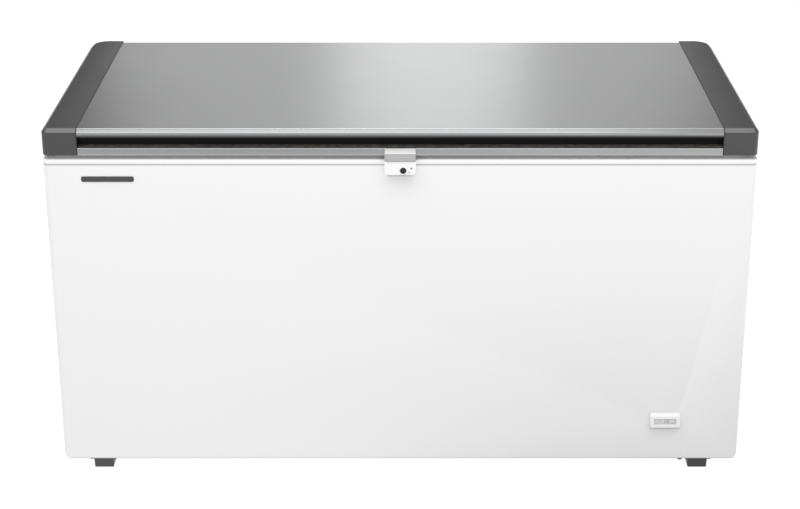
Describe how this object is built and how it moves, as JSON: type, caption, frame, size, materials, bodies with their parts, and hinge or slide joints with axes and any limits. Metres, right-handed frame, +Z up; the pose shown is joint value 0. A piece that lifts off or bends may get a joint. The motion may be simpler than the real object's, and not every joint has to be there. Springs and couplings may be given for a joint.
{
  "type": "chest freezer",
  "caption": "Long chest freezer: white foamed cabinet on short feet, hinged stainless lid with grey end caps and a recessed front grip, front lock, sliding basket and rear compressor bay.",
  "frame": {"origin": "middle of the bounding box in plan, on the floor under the feet", "axes": "+X to the right along the front, +Y from the front to the back, +Z up"},
  "size_m": [1.647, 0.809, 0.875],
  "materials": {
    "white_painted_steel": "smooth semi-gloss powder coat",
    "white_plastic": "satin moulded plastic",
    "dark_grey_plastic": "finely grained moulded plastic",
    "black_plastic": "satin black",
    "brushed_stainless": "brushed along the length",
    "brushed_aluminium": "satin anodised",
    "liner_aluminium": "white-coated stucco-embossed sheet",
    "coil_aluminium": "mill finish tube",
    "galvanised_steel": "zinc-plated",
    "black_painted_steel": "semi-gloss black paint",
    "satin_zinc": "satin grey casting",
    "foam": "rigid polyurethane foam",
    "grey_seal": "soft matt seal",
    "black_rubber": "matt",
    "copper": "drawn copper",
    "coated_wire": "white plastic-coated wire",
    "clear_plastic": "clear",
    "display": "grey liquid crystal"
  },
  "bodies": {
    "cabinet": {"outer_shell": "white_painted_steel", "back_panel": "white_painted_steel", "base_plate": "galvanised_steel", "top_rim": "white_plastic", "inner_liner": "liner_aluminium", "insulation_foam": "foam", "side_grille": "white_plastic", "rear_cover": "galvanised_steel", "power_cord_gland": "black_plastic", "foot_front_left": "dark_grey_plastic", "foot_front_right": "dark_grey_plastic", "foot_rear_left": "dark_grey_plastic", "foot_rear_right": "dark_grey_plastic", "base_bolt": "black_painted_steel", "front_badge": "dark_grey_plastic", "drain_pipe": "white_plastic", "evaporator_coil": "coil_aluminium", "condenser_coil": "black_painted_steel", "compressor": "black_painted_steel", "compressor_bracket": "galvanised_steel", "compressor_grommet_1": "black_rubber", "compressor_grommet_2": "black_rubber", "compressor_grommet_3": "black_rubber", "compressor_grommet_4": "black_rubber", "start_relay": "black_plastic", "filter_drier": "copper", "discharge_pipe": "copper", "suction_pipe": "copper", "thermostat": "black_plastic", "thermostat_probe": "copper", "thermometer_housing": "white_plastic", "thermometer_display": "display", "thermometer_window": "clear_plastic", "lock_housing": "white_plastic", "hinge_base_left": "galvanised_steel", "hinge_base_right": "galvanised_steel", "hinge_pin_left": "galvanised_steel", "hinge_pin_right": "galvanised_steel", "hinge_spring_left": "galvanised_steel", "hinge_spring_right": "galvanised_steel"},
    "lid": {"lid_skin": "brushed_stainless", "lid_foam": "foam", "lid_liner": "white_plastic", "lid_gasket": "grey_seal", "handle_profile": "brushed_aluminium", "grip_insert": "black_plastic", "end_cap_left": "dark_grey_plastic", "end_cap_right": "dark_grey_plastic", "lid_keeper": "satin_zinc", "hinge_arm_left": "galvanised_steel", "hinge_arm_right": "galvanised_steel"},
    "basket": {"basket": "coated_wire", "basket_grip_left": "dark_grey_plastic", "basket_grip_right": "dark_grey_plastic"},
    "lock_cylinder": {"lock_cylinder": "black_plastic"},
    "lock_bolt": {"lock_bolt": "galvanised_steel"},
    "thermostat_knob": {"thermostat_knob": "dark_grey_plastic"},
    "drain_plug": {"drain_plug": "white_plastic"},
    "drain_cap": {"drain_cap": "dark_grey_plastic"}
  },
  "joints": [
    {"name": "lid_hinge", "type": "hinge", "parent": "cabinet", "child": "lid", "pos_m": [0, 0.3985, 0.807], "axis": [-1, 0, 0], "range_deg": [0, 88], "stiffness_Nm_per_rad": 32, "springref_deg": 90.01},
    {"name": "basket_slide", "type": "slide", "parent": "cabinet", "child": "basket", "axis": [1, 0, 0], "range_m": [-1.07, 0]},
    {"name": "key_turn", "type": "hinge", "parent": "cabinet", "child": "lock_cylinder", "pos_m": [0.007, -0.4005, 0.7815], "axis": [0, -1, 0], "range_deg": [0, 90]},
    {"name": "bolt_slide", "type": "slide", "parent": "cabinet", "child": "lock_bolt", "axis": [0, 0, 1], "range_m": [0, 0.008]},
    {"name": "thermostat_turn", "type": "hinge", "parent": "cabinet", "child": "thermostat_knob", "pos_m": [0.81, -0.0265, 0.1765], "axis": [1, 0, 0], "range_deg": [0, 270]},
    {"name": "drain_plug_lift", "type": "slide", "parent": "cabinet", "child": "drain_plug", "axis": [0, 0, 1], "range_m": [0, 0.03]},
    {"name": "drain_cap_turn", "type": "hinge", "parent": "cabinet", "child": "drain_cap", "pos_m": [-0.6, -0.2525, 0.015], "axis": [0, 0, 1], "range_deg": [0, 90]}
  ],
  "couplings": [
    {"joint": "key_turn", "follows": "bolt_slide", "rad_per_m": 196.3}
  ]
}
